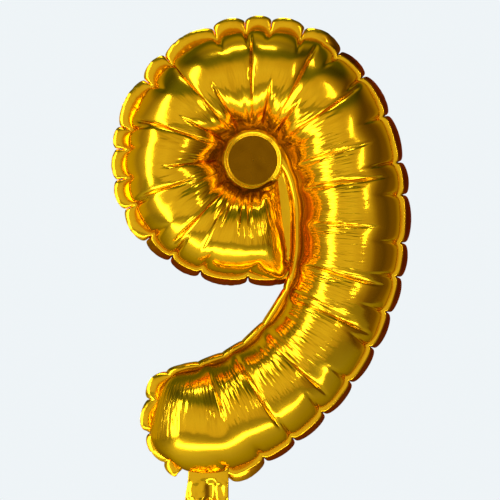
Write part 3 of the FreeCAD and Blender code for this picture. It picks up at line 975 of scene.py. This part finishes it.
def eyeFoil():
    material, flow, surface = newMaterial("eyeFoil", {"Metallic": 1.0})
    place = flow.node("ShaderNodeTexCoord", out=3)
    cloud = noise(place, 90.0, 3.0)
    # painted reflection: the disc's gold is painted dark brown for the dark room in front of it that it
    # mirrors
    feed(surface, "Base Color", cloud.mix((0.22, 0.09, 0.001, 1), (0.32, 0.14, 0.002, 1)))
    feed(surface, "Roughness", cloud * 0.1 + 0.22)
    roughen(surface, noise(place, 160.0, 2.0) * 0.0003, 0.6)
    return material


def valvePlastic():
    constants = {"Metallic": 0.0, "IOR": 1.5, "Transmission Weight": 0.0}
    material, flow, surface = newMaterial("valvePlastic", constants)
    place = flow.node("ShaderNodeTexCoord", out=3)
    haze = noise(place, 120.0, 4.0)
    feed(surface, "Base Color", haze.mix((0.72, 0.74, 0.72, 1), (0.86, 0.87, 0.85, 1)))
    feed(surface, "Roughness", haze * 0.15 + 0.22)
    roughen(surface, haze * 0.0002, 0.5)
    return material


def releaseInk():
    material, flow, surface = newMaterial("releaseInk", {"Metallic": 0.0})
    place = flow.node("ShaderNodeTexCoord", out=3)
    grain = noise(place, 900.0, 3.0)
    feed(surface, "Base Color", grain.mix((0.1, 0.2, 0.36, 1), (0.16, 0.28, 0.46, 1)))
    feed(surface, "Roughness", grain * 0.2 + 0.5)
    roughen(surface, grain * 0.00005, 0.4)
    return material


gold = goldFoil("goldFoil", brown=0.85, gatherDepth=0.0014, broadScale=46.0, broadDepth=0.00022)
crumpledGold = goldFoil("crumpledFoil", brown=0.0, gatherDepth=0.0, broadScale=150.0, broadDepth=0.0006)
welded, eyeReflectionGold, valve, ink = weldedFoil(), eyeFoil(), valvePlastic(), releaseInk()
bySlot = {"gold_foil": gold, "weld_band": welded, "valve_film": valve, "release_print": ink}
slotOf = {part["node"]: part["material_slot"] for part in frame["record"]["subparts"]}
byPiece = {"frontFoil": gold, "backFoil": gold, "upperNeck": crumpledGold, "lowerNeck": crumpledGold}
byPiece |= {"outerRim": welded, "tailRim": welded, "eyeRing": welded, "slitWeb": welded, "eyeDisc": eyeReflectionGold}
byPiece |= {"neckValveFront": valve, "neckValveBack": valve, "valvePrint": ink}
byPiece |= {"mouthValveFront": valve, "mouthValveBack": valve}
for piece in bpy.data.objects:
    if piece.type == "MESH" and piece.name in frame["nodes"]:
        put(bySlot[slotOf[piece.name]], piece)
    elif piece.name in byPiece:
        put(byPiece[piece.name], piece)
print("materials made")

# ---- floor, light and camera

studio = {
    "floorGap": 0.75,
    "floorSize": 4.0,
    "floorColour": (0.86, 0.88, 0.89, 1),
    "seen": (0.86, 0.905, 0.93, 1),
    "viewWidth": 0.370,
    "distance": 1.6,
    "look": (-0.0022, -0.0666),  # from the middle of the eye
    "lampsAimAt": -0.12,  # height
    "roomStrength": 1.04,
}


def makeFloor():
    bpy.ops.object.select_all(action="DESELECT")
    height = cadBox[0].z - studio["floorGap"]
    bpy.ops.mesh.primitive_plane_add(size=studio["floorSize"], location=(0, 0, height))
    bpy.ops.object.transform_apply(location=True, rotation=True, scale=True)
    floor = bpy.context.object
    floor.name = "floor"
    material, flow, surface = newMaterial("paleFloor", {"Specular IOR Level": 0.2})
    place = flow.node("ShaderNodeTexCoord", out=3)
    grain = noise(place, 300.0, 3.0)
    shade = tuple(0.96 * part for part in studio["floorColour"][:3]) + (1,)
    feed(surface, "Base Color", grain.mix(shade, studio["floorColour"]))
    feed(surface, "Roughness", grain * 0.1 + 0.6)
    put(material, floor)


def makeWorld():
    # a pale room: bright walls and ceiling, and a dark patch in front where its far end is unlit
    world = bpy.data.worlds.new("paleRoom")
    bpy.context.scene.world = world
    world.use_nodes = True
    world.node_tree.nodes.clear()
    flow = Flow(world.node_tree)
    direction = flow.node("ShaderNodeTexCoord", out=0)
    sideways = flow.node("ShaderNodeSeparateXYZ", None, {0: direction}, out=0)
    ahead = flow.node("ShaderNodeSeparateXYZ", None, {0: direction}, out=1)
    upwards = flow.node("ShaderNodeSeparateXYZ", None, {0: direction}, out=2)
    byDepth = flow.node("ShaderNodeValToRGB", {"stops": [
        (0.0, (0.66, 0.61, 0.52, 1)), (0.2, (0.60, 0.55, 0.46, 1)), (0.35, (0.40, 0.37, 0.31, 1)),
        (0.48, (0.30, 0.27, 0.21, 1)), (0.60, (0.46, 0.41, 0.33, 1)), (0.85, (0.62, 0.58, 0.5, 1)),
    ]}, {0: ahead * 0.5 + 0.5})
    byHeight = flow.node("ShaderNodeValToRGB", {"stops": [
        (0.0, (0.9, 0.86, 0.78, 1)), (0.3, (1.0, 0.96, 0.88, 1)), (0.55, (1, 1, 1, 1)),
        (0.76, (0.86, 0.8, 0.62, 1)), (0.84, (0.16, 0.24, 0.09, 1)), (0.92, (0.2, 0.26, 0.12, 1)),
        (0.98, (0.8, 0.8, 0.8, 1)),
    ]}, {0: upwards * 0.5 + 0.5})
    bySide = flow.node("ShaderNodeValToRGB", {"stops": [
        (0.0, (0.9, 0.88, 0.84, 1)), (0.5, (1, 1, 1, 1)), (0.8, (0.75, 0.7, 0.6, 1)),
        (0.93, (0.3, 0.22, 0.12, 1)),
    ]}, {0: sideways * 0.5 + 0.5})
    depthHeight = flow.node("ShaderNodeVectorMath", {"operation": "MULTIPLY"}, {0: byDepth, 1: byHeight})
    both = flow.node("ShaderNodeVectorMath", {"operation": "MULTIPLY"}, {0: depthHeight, 1: bySide})
    lit = flow.node("ShaderNodeBackground", None, {"Color": both, "Strength": studio["roomStrength"]})
    seen = flow.node("ShaderNodeBackground", None, {"Color": studio["seen"], "Strength": 1.0})
    straightOn = flow.node("ShaderNodeLightPath", out=0)
    joined = flow.node("ShaderNodeMixShader", None, {0: straightOn, 1: lit, 2: seen})
    flow.node("ShaderNodeOutputWorld", None, {"Surface": joined})


softLights = [
    # name, place, width, height, power, colour
    ("windowLeft", (-0.95, -0.85, -0.05), 0.26, 1.7, 8.0, (1.0, 1.0, 0.97)),
    ("windowLow", (0.0, -0.65, -0.98), 1.5, 0.16, 5.5, (1.0, 0.99, 0.95)),
    ("lampTop", (-0.1, -0.5, 1.2), 0.5, 0.12, 2.0, (1.0, 1.0, 0.95)),
    ("lampRight", (0.8, -1.1, 0.2), 0.05, 0.6, 1.2, (1.0, 0.97, 0.9)),
]


def makeLights():
    target = Vector((0, neck["plane"], studio["lampsAimAt"]))
    for name, place, width, height, power, colour in softLights:
        lamp = bpy.data.lights.new(name, "AREA")
        lamp.shape, lamp.size, lamp.size_y = "RECTANGLE", width, height
        lamp.energy, lamp.color = power, colour
        holder = bpy.data.objects.new(name, lamp)
        holder.location = place
        holder.rotation_euler = (target - Vector(place)).to_track_quat("-Z", "Y").to_euler()
        bpy.context.scene.collection.objects.link(holder)


def makeCamera():
    camera = bpy.data.cameras.new("camera")
    camera.lens = camera.sensor_width * studio["distance"] / studio["viewWidth"]
    holder = bpy.data.objects.new("camera", camera)
    side, height = studio["look"]
    holder.location = (eyeMiddle.x + side, neck["plane"] - studio["distance"], eyeMiddle.z + height)
    holder.rotation_euler = (math.pi / 2, 0, 0)
    camera.clip_start, camera.clip_end = 0.05, 20
    bpy.context.scene.collection.objects.link(holder)
    bpy.context.scene.camera = holder


makeFloor()
makeWorld()
makeLights()
makeCamera()
bpy.context.scene.view_settings.view_transform = "Standard"

print("scene made")
